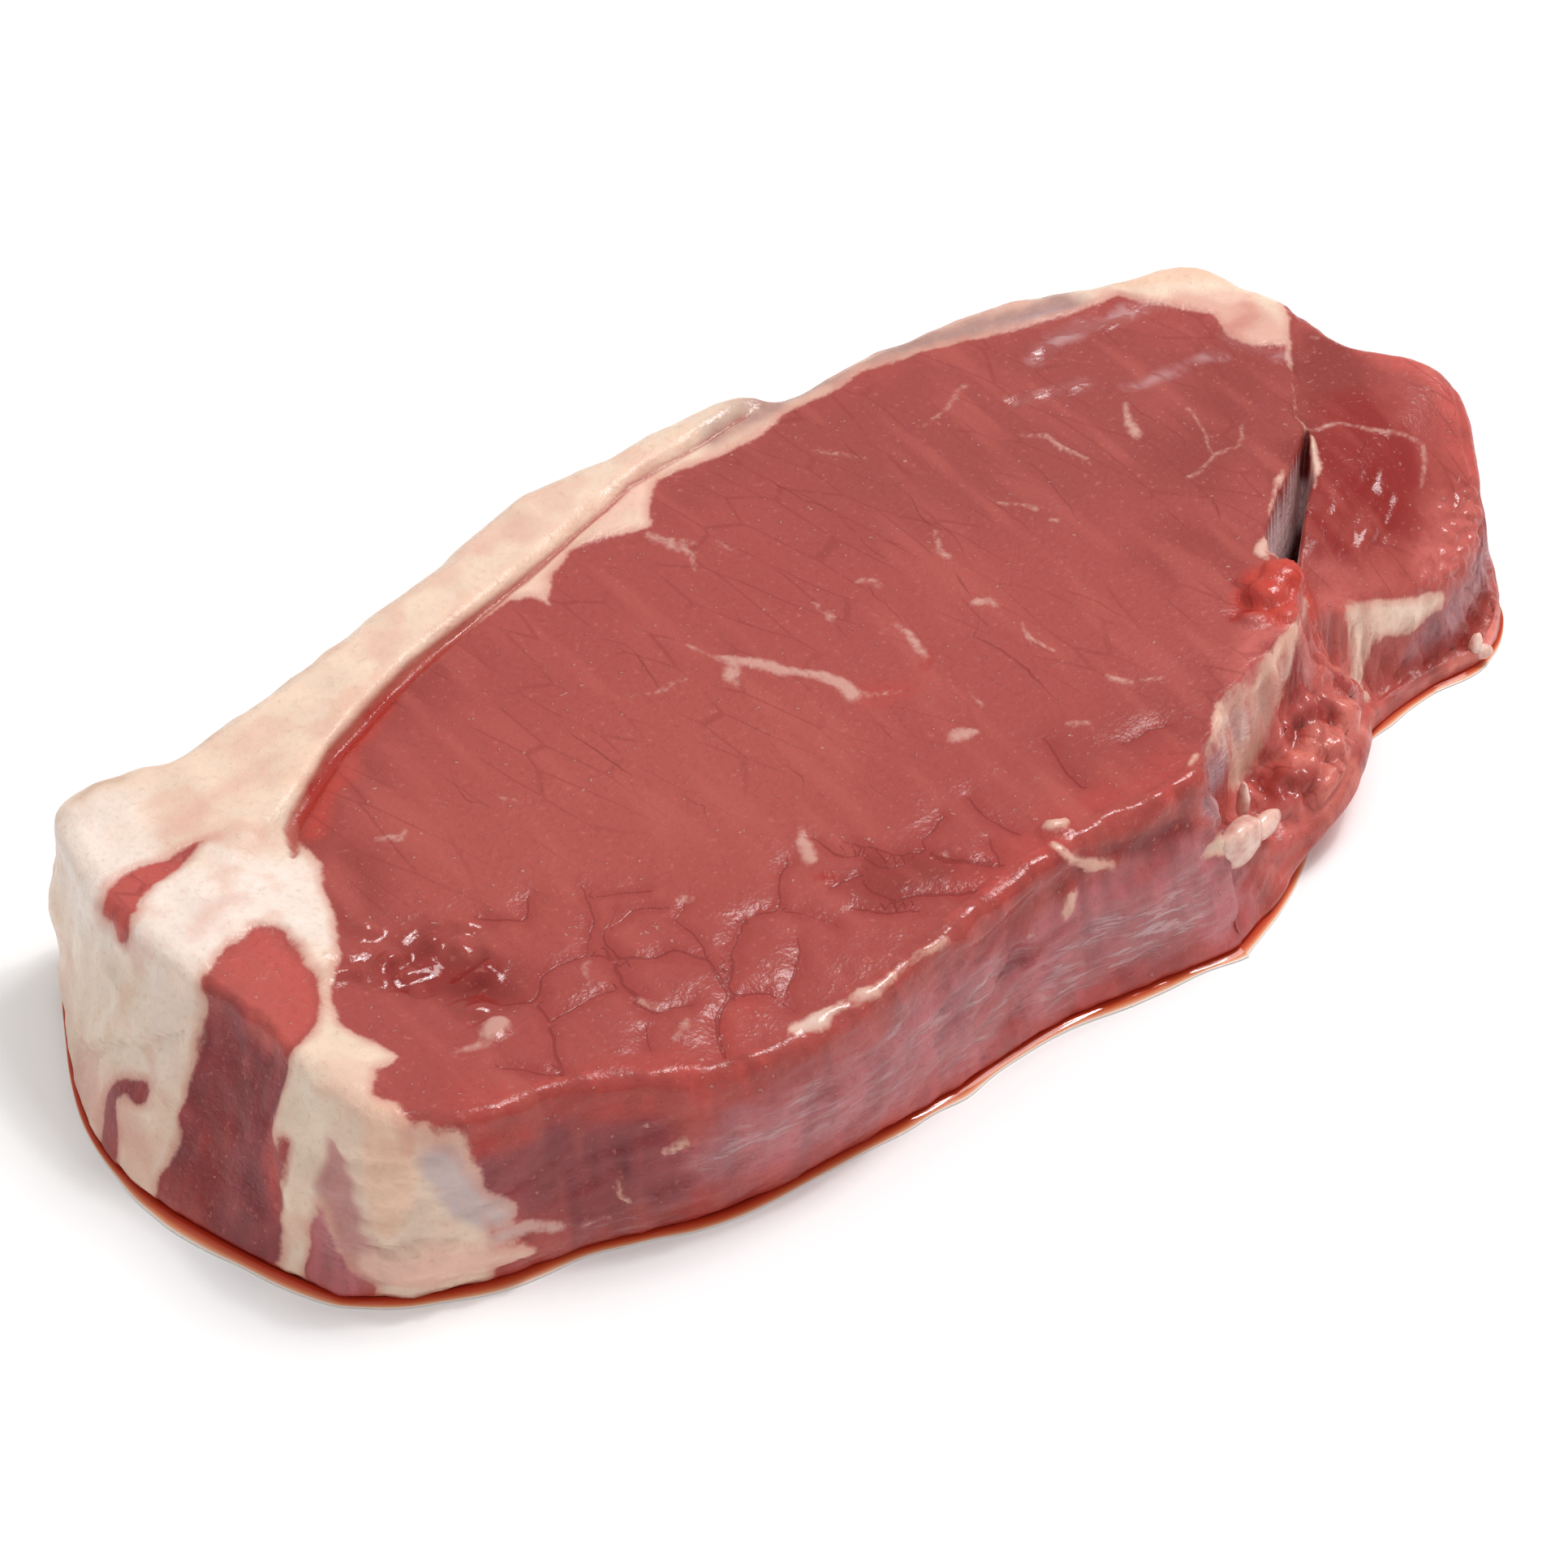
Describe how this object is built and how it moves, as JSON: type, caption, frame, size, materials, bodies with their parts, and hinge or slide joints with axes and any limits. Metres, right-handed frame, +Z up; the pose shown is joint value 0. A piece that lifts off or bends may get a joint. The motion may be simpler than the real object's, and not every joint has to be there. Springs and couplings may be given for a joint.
{
  "type": "raw sirloin steak",
  "caption": "Thick raw sirloin steak with a fat cap along one edge, marbled lean, a side muscle at the wide end and a torn shelf between them.",
  "frame": {"origin": "centre of the slice's bounding box, on the lower cut face that it lies on", "axes": "+X along the slice to the end with the side muscle, +Y towards the fat cap, +Z up through the thickness"},
  "size_m": [0.199, 0.0988, 0.0263],
  "materials": {
    "raw_meat": "moist satin"
  },
  "bodies": {
    "root": {"steak": "raw_meat"}
  },
  "joints": []
}
